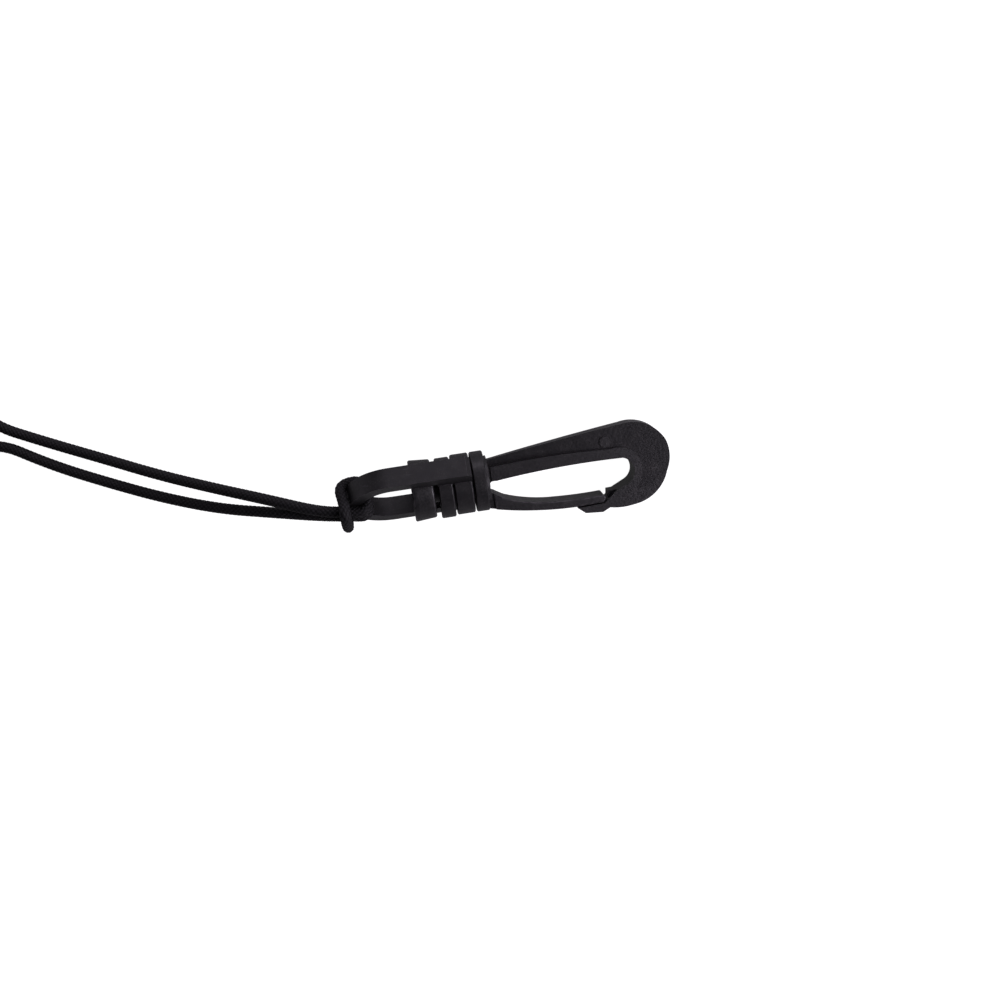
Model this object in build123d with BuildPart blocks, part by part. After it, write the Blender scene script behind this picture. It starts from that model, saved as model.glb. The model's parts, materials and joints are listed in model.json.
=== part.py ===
from build123d import *
import os
from math import asin, atan2, cos, degrees, hypot, pi, radians, sin, tan

# Swivel snap hook of a game-call lanyard, lying on a table.
# The hook turns in the bail's collar about the swivel axis; the sprung gate arm bends
# inwards to open the hook; the braided lanyard is girth-hitched to the bail.
# Millimetres. The table is z = 0, +X runs from the bail to the hook's nose.

# ---------------------------------------------------------------- driving dimensions

# how the clip lies: nose and bail touch the table, so the swivel axis slopes to the nose
PITCH = 7.65
BAIL_TWIST = 31.5
SWIVEL_X = -5.102
SWIVEL_Y = 1.091
SWIVEL_Z = 8.874

# swivel barrel, measured along the swivel axis from the hook collar's front face
BARREL_R = 6.65
COLLAR_LENGTH = 2.9
COLLAR_GAP = 0.3
BAIL_COLLAR_LENGTH = 7.5
BAIL_COLLAR_SLIT = 0.3
SLIT_FROM_FRONT = 4.0
SLIT_DEPTH = 1.5
REAR_HALF_SHIFT = 0.3
HEAD_GAP = 1.0
HEAD_LENGTH = 4.8
HEAD_R_FRONT = 6.45
HEAD_R_REAR = 6.8
STEM_R = 3.2
STEM_CLEARANCE = 0.08
STEM_BORE_R = STEM_R + STEM_CLEARANCE
TENON_R = 2.3
TENON_EDGE = 0.4
TENON_SLOT = 0.7
TENON_SLOT_DEPTH = 3.0
HEAD_DISH_R = 4.9
HEAD_DISH_DEPTH = 1.2
BARREL_EDGE = 0.25

# hook moulding
HOOK_DEPTH = 7.0
NECK_LENGTH = 1.2
NECK_DEPTH = 6.0
NECK_R = 5.4
MARK_CENTRE = (26.9, 4.7)
MARK_R = 1.2
MARK_TOP = 2.42

# gate arm: a sprung finger that turns about its thin root
GATE_DEPTH = 6.8
GATE_PIVOT = (3.7, -5.55)
GATE_KNUCKLE_R = 1.15
GATE_CLEARANCE = 0.12

# bail strap
STRAP_WIDTH = 4.5
STRAP_THICKNESS = 2.75
BAIL_HALF_GAP = 7.05
BAIL_BEND_U = -20.8
ARM_ROOT_INNER = 5.5
ARM_END_BEVEL = 0.9

# braided lanyard cord
CORD_D = 2.4
HITCH_TURN_R = 2.4
COIL_MID_R = 13.5
COIL_TURNS_WIDE = 3
COIL_TURNS_HIGH = 3
COIL_CENTRE_3D = (-139.0, 35.5, 0.0)
STRANDS_MEET = (-119.0, 27.5)
TIE_ANGLE = 150.0
TIE_WIDTH = 5.0
TIE_THICKNESS = 0.8

# ---------------------------------------------------------------- derived places

HOOK_HALF = HOOK_DEPTH / 2
COLLAR_REAR = -COLLAR_LENGTH
BAIL_COLLAR_FRONT = COLLAR_REAR - COLLAR_GAP
BAIL_COLLAR_REAR = BAIL_COLLAR_FRONT - BAIL_COLLAR_LENGTH
HEAD_FRONT = BAIL_COLLAR_REAR - HEAD_GAP
HEAD_REAR = HEAD_FRONT - HEAD_LENGTH
BAIL_OUTER_R = BAIL_HALF_GAP + STRAP_THICKNESS
TENON_REAR = HEAD_REAR + 0.5
CORD_R = CORD_D / 2
COIL_WIDTH = COIL_TURNS_WIDE * CORD_D
COIL_HEIGHT = COIL_TURNS_HIGH * CORD_D
TIE_HEIGHT = COIL_HEIGHT + TIE_THICKNESS

swivel_origin = Vector(SWIVEL_X, SWIVEL_Y, SWIVEL_Z)
along = Vector(cos(radians(PITCH)), 0, -sin(radians(PITCH)))
across = Vector(0, 1, 0)
upward = along.cross(across)
arm_side = across * sin(radians(BAIL_TWIST)) + upward * cos(radians(BAIL_TWIST))
strap_side = along.cross(arm_side)

# hook sketches: x along the swivel axis, y across the hook, normal out of its face
hook_plane = Plane(origin=swivel_origin, x_dir=along, z_dir=upward)
# bail sketches: x along the swivel axis, y towards the front arm
bail_plane = Plane(origin=swivel_origin, x_dir=along, z_dir=strap_side)


def gate_knuckle_point(angle):
    """A point on the gate's round root, by its angle about the pivot."""
    return around(GATE_PIVOT, GATE_KNUCKLE_R, angle)


def gate_socket_point(angle):
    """A point on the hollow that the gate's root turns in."""
    return around(GATE_PIVOT, GATE_KNUCKLE_R + GATE_CLEARANCE, angle)


def around(centre, radius, angle):
    """A point at an angle in degrees round a centre."""
    return (centre[0] + radius * cos(radians(angle)), centre[1] + radius * sin(radians(angle)))


def broken_corners(rear, front, rear_r, front_r, edge):
    """The outer corners of a band's half section, bevelled where edge is not zero."""
    if edge == 0:
        return [(rear, rear_r), (front, front_r)]
    return [(rear, rear_r - edge), (rear + edge, rear_r), (front - edge, front_r), (front, front_r - edge)]


def turned_band(rear, front, rear_r, front_r, edge=0, shift=0, mode=Mode.ADD):
    """A round band about the swivel axis, moved sideways by shift, with broken outer edges."""
    centre = swivel_origin + strap_side * shift
    with BuildSketch(Plane(origin=centre, x_dir=along, z_dir=strap_side)) as half_section:
        with BuildLine():
            Polyline(
                (rear, 0),
                *broken_corners(rear, front, rear_r, front_r, edge),
                (front, 0),
                close=True,
            )
        make_face()
    revolve(half_section.sketch, axis=Axis(centre, along), mode=mode)


# ---------------------------------------------------------------- hook frame

# outer edge of the hook, from the collar over the nose to the lip
UPPER_ROOT = (0.0, 4.45)
UPPER_MID = (15.5, 6.45)
UPPER_END = (30.8, 8.1)
NOSE_UPPER_MID = (37.2, 6.85)
NOSE_UPPER_END = (40.2, 3.4)
NOSE_TIP = (40.65, 0.3)
NOSE_LOWER = (39.6, -3.4)
CHIN_MID = (36.6, -7.75)
CHIN_END = (31.4, -9.8)
CHIN_LOW = (28.8, -10.0)
LIP_HEEL = (26.1, -9.65)
LIP_CORNER = (24.4, -10.45)
LIP_TOE = (20.6, -10.1)
LIP_TIP = (19.0, -8.75)
POCKET_END = (25.0, -8.55)
THROAT_LOW = (26.3, -7.6)
THROAT_CORNER = (27.4, -6.55)
# ledge behind the gate's tip, narrower than the hook
LEDGE_HALF_DEPTH = 2.0
LEDGE_TIP = (26.2, -6.15)
LEDGE_ROOT = (28.6, -6.1)
LEDGE_HEEL = (28.0, -8.2)
LEDGE_FOOT = (26.0, -7.95)
# inner edge of the eye, from the throat round the nose and back along the upper arm
EYE_TURN_LOW = (30.5, -5.1)
EYE_TURN_MID = (32.5, -2.3)
EYE_TURN_HIGH = (30.2, 0.85)
EYE_TOP_MID = (17.0, 0.95)
EYE_TOP_ROOT = (2.0, 0.0)
EYE_HEEL_MID = (0.75, -0.35)
EYE_HEEL = (0.5, -1.2)
EYE_HEEL_R = 1.1
GATE_STUB_HORN = (2.75, -3.8)
# ridge round the eye, where the thinner web begins
RIDGE_ROOT = (1.2, 3.1)
RIDGE_MID = (14.0, 3.6)
RIDGE_END = (28.0, 3.15)
RIDGE_TURN_MID = (33.25, 1.2)
RIDGE_TURN_END = (34.15, -1.8)
RIDGE_LOW_MID = (33.7, -4.2)
RIDGE_LOW = (32.4, -6.2)
# the web's face climbs from the root to the chin, where it is flush with the ridge
WEB_HALF_AT_ROOT = 1.35
WEB_RISE_ALONG = 2.6
WEB_FALL_ACROSS = 4.6

# tool that sinks the web's face below the ridge on one side
with BuildPart() as web_recess:
    with BuildSketch(hook_plane):
        with BuildLine():
            Polyline((-1, 12), (-1, 3.1), RIDGE_ROOT)
            ThreePointArc(RIDGE_ROOT, RIDGE_MID, RIDGE_END)
            ThreePointArc(RIDGE_END, RIDGE_TURN_MID, RIDGE_TURN_END)
            ThreePointArc(RIDGE_TURN_END, RIDGE_LOW_MID, RIDGE_LOW)
            Polyline(RIDGE_LOW, (45, -6.2), (45, 12), (-1, 12))
        make_face()
    extrude(amount=HOOK_DEPTH)
    web_face = hook_plane.offset(WEB_HALF_AT_ROOT).rotated((-WEB_FALL_ACROSS, -WEB_RISE_ALONG, 0))
    split(bisect_by=web_face, keep=Keep.TOP)

with BuildPart() as hook_frame:
    with BuildSketch(hook_plane):
        with BuildLine():
            ThreePointArc(UPPER_ROOT, UPPER_MID, UPPER_END)
            ThreePointArc(UPPER_END, NOSE_UPPER_MID, NOSE_UPPER_END)
            ThreePointArc(NOSE_UPPER_END, NOSE_TIP, NOSE_LOWER)
            ThreePointArc(NOSE_LOWER, CHIN_MID, CHIN_END)
            ThreePointArc(CHIN_END, CHIN_LOW, LIP_HEEL)
            Polyline(LIP_HEEL, LIP_CORNER, LIP_TOE, LIP_TIP, POCKET_END, THROAT_LOW, THROAT_CORNER)
            Line(THROAT_CORNER, EYE_TURN_LOW)
            ThreePointArc(EYE_TURN_LOW, EYE_TURN_MID, EYE_TURN_HIGH)
            ThreePointArc(EYE_TURN_HIGH, EYE_TOP_MID, EYE_TOP_ROOT)
            ThreePointArc(EYE_TOP_ROOT, EYE_HEEL_MID, EYE_HEEL)
            Polyline(EYE_HEEL, (0.0, -1.2), UPPER_ROOT)
        make_face()
    extrude(amount=HOOK_HALF, both=True)
    add(web_recess.part, mode=Mode.SUBTRACT)
    mirror(web_recess.part, about=hook_plane, mode=Mode.SUBTRACT)
    # stub that carries the gate's root, hollowed to fit round the gate's knuckle
    with BuildSketch(hook_plane):
        with BuildLine():
            Polyline((0.0, -1.2), EYE_HEEL, (0.62, -2.35), (1.6, -3.1), GATE_STUB_HORN)
            Line(GATE_STUB_HORN, gate_socket_point(125))
            ThreePointArc(gate_socket_point(125), gate_socket_point(185), gate_socket_point(240))
            Polyline(gate_socket_point(240), (2.4, -6.5), (0.0, -5.9), (0.0, -1.2))
        make_face()
    extrude(amount=HOOK_HALF, both=True)
    with BuildSketch(hook_plane):
        with BuildLine():
            Polyline(LEDGE_TIP, LEDGE_ROOT, LEDGE_HEEL, LEDGE_FOOT, close=True)
        make_face()
    extrude(amount=LEDGE_HALF_DEPTH, both=True)
    # the two arms are thinner where they spring from the collar
    for side in (1, -1):
        with BuildSketch(hook_plane.offset(side * NECK_DEPTH / 2)):
            with Locations((NECK_LENGTH / 2, 0)):
                Rectangle(NECK_LENGTH, 2 * BARREL_R)
        extrude(amount=side * HOOK_DEPTH, mode=Mode.SUBTRACT)
    # round mark left by the mould's ejector pin, on both faces of the web
    for side in (1, -1):
        with BuildSketch(hook_plane):
            with Locations(MARK_CENTRE):
                Circle(MARK_R)
        extrude(amount=side * MARK_TOP)
    # collar, neck and the stem that the bail turns on
    turned_band(0, NECK_LENGTH / 2, NECK_R, NECK_R)
    turned_band(COLLAR_REAR, 0, BARREL_R, BARREL_R, BARREL_EDGE)
    turned_band(HEAD_FRONT, COLLAR_REAR, STEM_R, STEM_R)
    turned_band(TENON_REAR, HEAD_FRONT, TENON_R, TENON_R, TENON_EDGE)
    # cross slot that lets the tenon spring through the head
    with BuildSketch(Plane(origin=swivel_origin + along * TENON_REAR, x_dir=arm_side, z_dir=along)):
        Rectangle(TENON_SLOT, 3 * TENON_R)
        Rectangle(3 * TENON_R, TENON_SLOT)
    extrude(amount=TENON_SLOT_DEPTH, mode=Mode.SUBTRACT)
    # the open eye must stay clear of the neck disc
    with BuildSketch(hook_plane):
        with Locations((EYE_HEEL[0] + EYE_HEEL_R, EYE_HEEL[1])):
            Circle(EYE_HEEL_R)
    extrude(amount=HOOK_DEPTH, both=True, mode=Mode.SUBTRACT)
hook_frame.part.label = "hook_frame"

# ---------------------------------------------------------------- gate arm

with BuildPart() as gate_arm:
    with BuildSketch(hook_plane):
        with BuildLine():
            ThreePointArc(gate_knuckle_point(80), (8.7, -5.75), (15.0, -6.55))
            ThreePointArc((15.0, -6.55), (20.0, -6.76), (25.1, -6.7))
            Polyline((25.1, -6.7), (25.5, -7.4), (24.9, -8.3), (19.5, -8.5))
            ThreePointArc((19.5, -8.5), (14.5, -8.32), (9.0, -7.75))
            ThreePointArc((9.0, -7.75), (6.3, -7.3), gate_knuckle_point(255))
            ThreePointArc(gate_knuckle_point(255), gate_knuckle_point(180), gate_knuckle_point(80))
        make_face()
    extrude(amount=GATE_DEPTH / 2)
    mirror(about=hook_plane)
gate_arm.part.label = "gate_arm"

# ---------------------------------------------------------------- swivel head

with BuildPart() as swivel_head:
    turned_band(HEAD_REAR, HEAD_FRONT, HEAD_R_REAR, HEAD_R_FRONT, BARREL_EDGE)
    turned_band(HEAD_REAR, HEAD_REAR + HEAD_DISH_DEPTH, HEAD_DISH_R, HEAD_DISH_R - 0.4, mode=Mode.SUBTRACT)
    turned_band(HEAD_REAR, HEAD_FRONT, TENON_R, TENON_R, mode=Mode.SUBTRACT)
swivel_head.part.label = "swivel_head"

# ---------------------------------------------------------------- bail

with BuildPart() as bail:
    # round collar in two halves, the rear one set a little lower, with a slit between them
    slit_front = BAIL_COLLAR_FRONT - SLIT_FROM_FRONT
    slit_rear = slit_front - BAIL_COLLAR_SLIT
    turned_band(slit_front, BAIL_COLLAR_FRONT, BARREL_R, BARREL_R, BARREL_EDGE)
    turned_band(BAIL_COLLAR_REAR, slit_rear, BARREL_R, BARREL_R, BARREL_EDGE, shift=REAR_HALF_SHIFT)
    turned_band(slit_rear, slit_front, BARREL_R - SLIT_DEPTH, BARREL_R - SLIT_DEPTH)
    # two arms joined by a round bend
    with BuildSketch(bail_plane) as strap:
        with Locations((BAIL_BEND_U, 0)):
            Circle(BAIL_OUTER_R)
            Rectangle(BAIL_COLLAR_FRONT - BAIL_BEND_U, 2 * BAIL_OUTER_R, align=(Align.MIN, Align.CENTER))
            Circle(BAIL_HALF_GAP, mode=Mode.SUBTRACT)
            Rectangle(
                BAIL_OUTER_R * 3,
                2 * BAIL_HALF_GAP,
                align=(Align.MIN, Align.CENTER),
                mode=Mode.SUBTRACT,
            )
        outer_corners = strap.vertices().filter_by(
            lambda corner: corner.X > BAIL_COLLAR_FRONT - 0.1 and abs(corner.Y) > BAIL_OUTER_R - 0.1
        )
        chamfer(outer_corners, ARM_END_BEVEL)
    extrude(amount=STRAP_WIDTH / 2, both=True)
    # webs between each arm and the collar
    for side in (1, -1):
        with BuildSketch(bail_plane):
            with Locations((BAIL_COLLAR_REAR, side * ARM_ROOT_INNER)):
                Rectangle(
                    BAIL_COLLAR_LENGTH,
                    BAIL_HALF_GAP + 0.2 - ARM_ROOT_INNER,
                    align=(Align.MIN, Align.MIN if side > 0 else Align.MAX),
                )
        extrude(amount=STRAP_WIDTH / 2, both=True)
    # bore for the stem
    turned_band(BAIL_COLLAR_REAR - 1, BAIL_COLLAR_FRONT + 1, STEM_BORE_R, STEM_BORE_R, mode=Mode.SUBTRACT)
bail.part.label = "bail"

# ---------------------------------------------------------------- lanyard


def tangent_radii(points, largest=None):
    """Arc radius at each corner: 0.45 of the shorter run over the tangent of half the turn."""
    corners = [Vector(*point) for point in points]
    radii = []
    for before, corner, after in zip(corners, corners[1:], corners[2:]):
        arriving = corner - before
        leaving = after - corner
        half_turn = radians(arriving.get_angle(leaving)) / 2
        radius = 0.45 * min(arriving.length, leaving.length) / tan(half_turn)
        radii.append(radius if largest is None else min(radius, largest))
    return radii


def cord_tube(label, points, largest=None):
    """A round tube along straight runs joined by tangent arcs."""
    radii = tangent_radii(points, largest)
    with BuildPart() as tube:
        with BuildLine() as route:
            FilletPolyline(*points, radius=radii)
        path = route.wire()
        with BuildSketch(Plane(origin=path @ 0, z_dir=path % 0)):
            Circle(CORD_R)
        sweep(path=path)
    tube.part.label = label
    expected = pi * CORD_R**2 * path.length
    print(label, "length", round(path.length, 1), "volume over length x section",
          round(tube.part.volume / expected, 4), "radii", [round(radius, 1) for radius in radii])
    return tube


def on_bail(u, d, t):
    """A point from its place along the swivel axis, towards the front arm and across the strap."""
    return swivel_origin + along * u + arm_side * d + strap_side * t


# girth hitch: both strands pass under the bail's tip, up through its eye, back over the strap
# and down the outside, where the bight crosses under them
HITCH_HALF = [
    (-37.0, 1.25, 2.0),
    (-30.6, 1.3, 3.3),
    (-26.1, 2.2, 3.7),
    (-26.1, 2.9, -3.7),
    (-31.5, 3.6, -3.7),
    (-31.4, 3.8, 6.0),
]
hitch_points = [on_bail(u, d, t) for u, d, t in HITCH_HALF]
hitch_points += [on_bail(u, -d, t) for u, d, t in reversed(HITCH_HALF)]
lanyard_hitch = cord_tube("lanyard_hitch", hitch_points, HITCH_TURN_R)

# each strand joins the coil along a tangent of its middle circle
coil_distance = hypot(STRANDS_MEET[0] - COIL_CENTRE_3D[0], STRANDS_MEET[1] - COIL_CENTRE_3D[1])
coil_bearing = degrees(atan2(STRANDS_MEET[1] - COIL_CENTRE_3D[1], STRANDS_MEET[0] - COIL_CENTRE_3D[0]))
tangent_swing = 90 - degrees(asin(COIL_MID_R / coil_distance))
UPPER_TANGENT = (*around(COIL_CENTRE_3D, COIL_MID_R, coil_bearing + tangent_swing), CORD_R)
LOWER_TANGENT = (*around(COIL_CENTRE_3D, COIL_MID_R, coil_bearing - tangent_swing), CORD_R)

# upper and lower strands, falling from the hitch to the table and running to the coil
UPPER_ROUTE = [
    hitch_points[0],
    (-53.0, 4.0, 14.2),
    (-65.0, 7.3, 10.2),
    (-78.0, 11.3, 6.3),
    (-91.0, 16.3, 3.2),
    (-104.0, 21.5, 1.3),
    (-117.0, 27.6, 1.2),
    UPPER_TANGENT,
]
LOWER_ROUTE = [
    hitch_points[-1],
    (-53.0, 0.6, 12.0),
    (-65.0, 2.3, 8.6),
    (-78.0, 5.8, 5.3),
    (-91.0, 10.6, 2.8),
    (-104.0, 16.2, 1.3),
    (-117.5, 24.3, 1.2),
    LOWER_TANGENT,
]
strand_upper = cord_tube("lanyard_strand_upper", UPPER_ROUTE)
strand_lower = cord_tube("lanyard_strand_lower", LOWER_ROUTE)

with BuildPart() as lanyard_coil:
    with BuildSketch(Plane(origin=COIL_CENTRE_3D, x_dir=(1, 0, 0), z_dir=(0, -1, 0))):
        with Locations((COIL_MID_R, COIL_HEIGHT / 2)):
            RectangleRounded(COIL_WIDTH, COIL_HEIGHT, CORD_D)
    revolve(axis=Axis(COIL_CENTRE_3D, (0, 0, 1)))
lanyard_coil.part.label = "lanyard_coil"

# band round the turns
tie_direction = Vector(cos(radians(TIE_ANGLE)), sin(radians(TIE_ANGLE)), 0)
tie_centre = Vector(*COIL_CENTRE_3D) + tie_direction * COIL_MID_R
tie_across = Vector(-tie_direction.Y, tie_direction.X, 0)
with BuildPart() as coil_tie:
    with BuildSketch(Plane(origin=tie_centre, x_dir=tie_direction, z_dir=-tie_across)):
        with Locations((0, TIE_HEIGHT / 2)):
            RectangleRounded(COIL_WIDTH + 2 * TIE_THICKNESS, TIE_HEIGHT, CORD_D + TIE_THICKNESS)
            RectangleRounded(COIL_WIDTH, TIE_HEIGHT - 2 * TIE_THICKNESS, CORD_D, mode=Mode.SUBTRACT)
    extrude(amount=TIE_WIDTH / 2, both=True)
coil_tie.part.label = "coil_tie"

# ---------------------------------------------------------------- files

os.makedirs("parts", exist_ok=True)
pieces = [
    hook_frame,
    gate_arm,
    swivel_head,
    bail,
    lanyard_hitch,
    strand_upper,
    strand_lower,
    lanyard_coil,
    coil_tie,
]
for piece in pieces:
    export_step(piece.part, f"parts/{piece.part.label}.step")
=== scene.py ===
"""Looks of a swivel snap hook and its braided neck lanyard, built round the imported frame.

The frame is in metres. Sizes and places held by the classes are in millimetres, unless a comment
gives another unit.
"""

import json
import logging
import math
from dataclasses import dataclass
from enum import Enum
from typing import Any, Sequence

import bmesh
import bpy
import numpy as np
from mathutils import Matrix, Vector


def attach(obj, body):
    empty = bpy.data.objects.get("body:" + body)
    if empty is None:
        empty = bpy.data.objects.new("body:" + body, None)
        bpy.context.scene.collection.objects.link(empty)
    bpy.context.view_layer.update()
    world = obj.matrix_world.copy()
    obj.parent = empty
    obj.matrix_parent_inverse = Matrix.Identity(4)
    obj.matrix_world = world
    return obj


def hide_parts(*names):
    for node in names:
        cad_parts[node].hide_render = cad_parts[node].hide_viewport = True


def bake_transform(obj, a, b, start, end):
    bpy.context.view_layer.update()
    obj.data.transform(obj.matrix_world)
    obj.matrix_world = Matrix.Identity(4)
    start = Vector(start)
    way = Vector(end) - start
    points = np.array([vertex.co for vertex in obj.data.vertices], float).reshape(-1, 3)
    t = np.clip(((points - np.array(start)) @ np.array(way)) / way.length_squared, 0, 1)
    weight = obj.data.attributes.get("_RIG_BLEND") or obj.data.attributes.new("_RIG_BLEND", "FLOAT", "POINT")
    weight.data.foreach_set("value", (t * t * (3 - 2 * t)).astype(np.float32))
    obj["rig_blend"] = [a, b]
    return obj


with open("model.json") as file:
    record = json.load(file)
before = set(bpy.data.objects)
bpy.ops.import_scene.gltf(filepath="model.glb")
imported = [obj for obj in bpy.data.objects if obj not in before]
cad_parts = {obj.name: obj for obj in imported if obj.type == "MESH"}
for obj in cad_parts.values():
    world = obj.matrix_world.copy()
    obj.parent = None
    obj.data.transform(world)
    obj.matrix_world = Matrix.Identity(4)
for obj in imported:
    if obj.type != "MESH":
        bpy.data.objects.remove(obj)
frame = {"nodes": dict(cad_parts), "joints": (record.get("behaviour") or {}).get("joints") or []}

LOG = logging.getLogger("snap_hook")
MM = 0.001
FULL_TURN = 360.0
RUBBED = "rubbed"
WHITE = (1.0, 1.0, 1.0)
# how far an edge turns, in degrees, before the light shows it as sharp
MOULDED_CREASE = 38.0
BAND_CREASE = 50.0

Colour = tuple[float, float, float]
Place = tuple[float, float, float]
Flat = tuple[float, float]


class Body(Enum):
    """The moving bodies that a piece can ride on."""

    BAIL = "bail"
    HOOK = "hook"
    GATE = "gate"


class Slot(Enum):
    """The record's material slots."""

    ACETAL = "acetal"
    CORD = "cord"
    TIE = "tie"


class Lie(Enum):
    """The ways that a stretch of cord can lie."""

    LOOSE = "loose"
    TAUT = "taut"
    COILED = "coiled"


# ---------------------------------------------------------------- the clip's own directions


@dataclass(frozen=True)
class ClipAxes:
    """The clip's directions, read from the frame's two hinges, for places given in millimetres."""

    swivel: Vector
    along: Vector
    across: Vector
    upward: Vector
    arm_side: Vector
    strap_side: Vector

    @classmethod
    def from_joints(cls, joints: Sequence[dict[str, Any]], bail_twist: float) -> "ClipAxes":
        """Works the directions out from the swivel's and the gate's hinges.

        Args:
            joints: The frame's joints.
            bail_twist: How far the bail is turned about the swivel axis, in degrees.

        Returns:
            The directions, with the swivel's centre.
        """
        hinges = {joint["name"]: joint for joint in joints}
        along = Vector(hinges["swivel"]["axis"]).normalized()
        upward = Vector(hinges["gate"]["axis"]).normalized()
        across = upward.cross(along).normalized()
        turn = math.radians(bail_twist)
        arm_side = across * math.sin(turn) + upward * math.cos(turn)
        return cls(
            swivel=Vector(hinges["swivel"]["pos_m"]),
            along=along,
            across=across,
            upward=upward,
            arm_side=arm_side,
            strap_side=along.cross(arm_side),
        )

    def on_hook(self, u: float, v: float, w: float = 0.0) -> Vector:
        """A point of the hook: along the swivel axis, across the hook, and above its middle plane."""
        return self.swivel + (self.along * u + self.across * v + self.upward * w) * MM

    def on_bail(self, u: float, d: float, t: float) -> Vector:
        """A point of the bail: along the swivel axis, towards its front arm, and across its strap."""
        return self.swivel + (self.along * u + self.arm_side * d + self.strap_side * t) * MM

    def hook_matrix(self) -> Matrix:
        """The placement of a mesh drawn in the hook's plane, in metres."""
        turn = Matrix((self.along, self.across, self.upward)).transposed()
        return Matrix.Translation(self.swivel) @ turn.to_4x4()


# ---------------------------------------------------------------- node helpers


def rgba(colour: Colour) -> tuple[float, float, float, float]:
    """A colour with full cover."""
    return (*colour, 1.0)


class Nodes:
    """Places and joins the nodes of one tree, in rows from left to right."""

    COLUMN = 190.0
    ROW = -260.0
    PER_ROW = 12

    def __init__(self, tree: bpy.types.NodeTree) -> None:
        """Keeps the tree that the nodes go into."""
        self.tree = tree
        self.count = 0

    @classmethod
    def of(cls, owner: bpy.types.Material | bpy.types.World) -> "Nodes":
        """Switches a material's or a world's nodes on and clears them.

        Args:
            owner: The material or world.

        Returns:
            The helper for its nodes.
        """
        owner.use_nodes = True
        owner.node_tree.nodes.clear()
        return cls(owner.node_tree)

    def add(self, kind: str, settings: dict[str, Any] | None = None, **inputs: Any) -> bpy.types.Node:
        """Adds a node.

        Args:
            kind: The node's type name.
            settings: The node's own properties.
            **inputs: Values or output sockets for its inputs, by name, with _ for a blank, or i0, i1.

        Returns:
            The new node.
        """
        node = self.tree.nodes.new(kind)
        row, column = divmod(self.count, self.PER_ROW)
        node.location = (self.COLUMN * column, self.ROW * row)
        self.count += 1
        for name, value in (settings or {}).items():
            setattr(node, name, value)
        for name, value in inputs.items():
            self.feed(self.socket(node, name), value)
        return node

    @staticmethod
    def socket(node: bpy.types.Node, name: str) -> bpy.types.NodeSocket:
        """Finds an input of a node.

        Args:
            node: The node.
            name: The input's number, as i0, or its name with _ for a blank.

        Returns:
            The input.
        """
        if name[0] == "i" and name[1:].isdigit():
            return node.inputs[int(name[1:])]
        wanted = name.replace("_", " ").lower()
        return next(one for one in node.inputs if one.name.lower() == wanted and one.enabled)

    def feed(self, socket: bpy.types.NodeSocket, value: Any) -> None:
        """Links an output socket to an input, or sets the input's own value.

        Args:
            socket: The input.
            value: The output socket or the value.
        """
        if isinstance(value, bpy.types.NodeSocket):
            self.tree.links.new(value, socket)
        else:
            socket.default_value = value

    def math(self, operation: str, *values: Any) -> bpy.types.NodeSocket:
        """Adds a Math node to a shader or geometry tree.

        Args:
            operation: The node's operation.
            *values: The numbers or output sockets that it works on.

        Returns:
            The result.
        """
        node = self.add("ShaderNodeMath", {"operation": operation})
        for socket, value in zip(node.inputs, values):
            self.feed(socket, value)
        return node.outputs[0]

    def ramp(
        self, value: Any, low: float, high: float, to_low: float = 0.0, to_high: float = 1.0
    ) -> bpy.types.NodeSocket:
        """Maps a value smoothly from one range to another.

        Args:
            value: The value.
            low: Where the first range starts.
            high: Where the first range ends.
            to_low: What the first range's start becomes.
            to_high: What the first range's end becomes.

        Returns:
            The result.
        """
        node = self.add("ShaderNodeMapRange", {"interpolation_type": "SMOOTHSTEP"})
        for socket, number in zip(node.inputs, (value, low, high, to_low, to_high)):
            self.feed(socket, number)
        return node.outputs[0]

    def _mixed(self, kind: str, first_input: int, values: Sequence[Any]) -> bpy.types.Node:
        """Adds a Mix node and feeds it.

        Args:
            kind: What it mixes.
            first_input: The number of its first input of that kind.
            values: The share of the second value, the first value and the second value.

        Returns:
            The node.
        """
        node = self.add("ShaderNodeMix", {"data_type": kind})
        for number, value in zip((0, first_input, first_input + 1), values):
            self.feed(node.inputs[number], value)
        return node

    def mix(self, share: Any, first: Any, second: Any) -> bpy.types.NodeSocket:
        """Mixes two colours, the second by the share, and returns the result."""
        return self._mixed("RGBA", 6, (share, first, second)).outputs[2]

    def choose(self, share: Any, first: Any, second: Any) -> bpy.types.NodeSocket:
        """Returns the first number where the share is 1 and the second where it is 0."""
        return self._mixed("FLOAT", 2, (share, second, first)).outputs[0]

    def noise(self, place: Any, scale: Any, detail: float, distortion: float = 0.0) -> bpy.types.NodeSocket:
        """Adds a noise texture.

        Args:
            place: Where it is read.
            scale: How fine it is.
            detail: How many finer layers it has.
            distortion: How far it is drawn out into swirls.

        Returns:
            The noise, from 0 to 1.
        """
        return self.add(
            "ShaderNodeTexNoise", Vector=place, Scale=scale, Detail=detail, Distortion=distortion
        ).outputs[0]

    def object_place(self) -> bpy.types.NodeSocket:
        """The place on the piece, in metres."""
        return self.add("ShaderNodeTexCoord").outputs["Object"]

    def shared(self, group: bpy.types.NodeTree, **inputs: Any) -> Any:
        """Adds a shared group with its own values and returns its outputs."""
        return self.add("ShaderNodeGroup", {"node_tree": group}, **inputs).outputs

    def surface(self, **inputs: Any) -> None:
        """Adds the main shader with its inputs, and the material's output."""
        shader = self.add("ShaderNodeBsdfPrincipled", **inputs)
        self.add("ShaderNodeOutputMaterial", Surface=shader.outputs[0])


# ---------------------------------------------------------------- one-over-one braid


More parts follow.
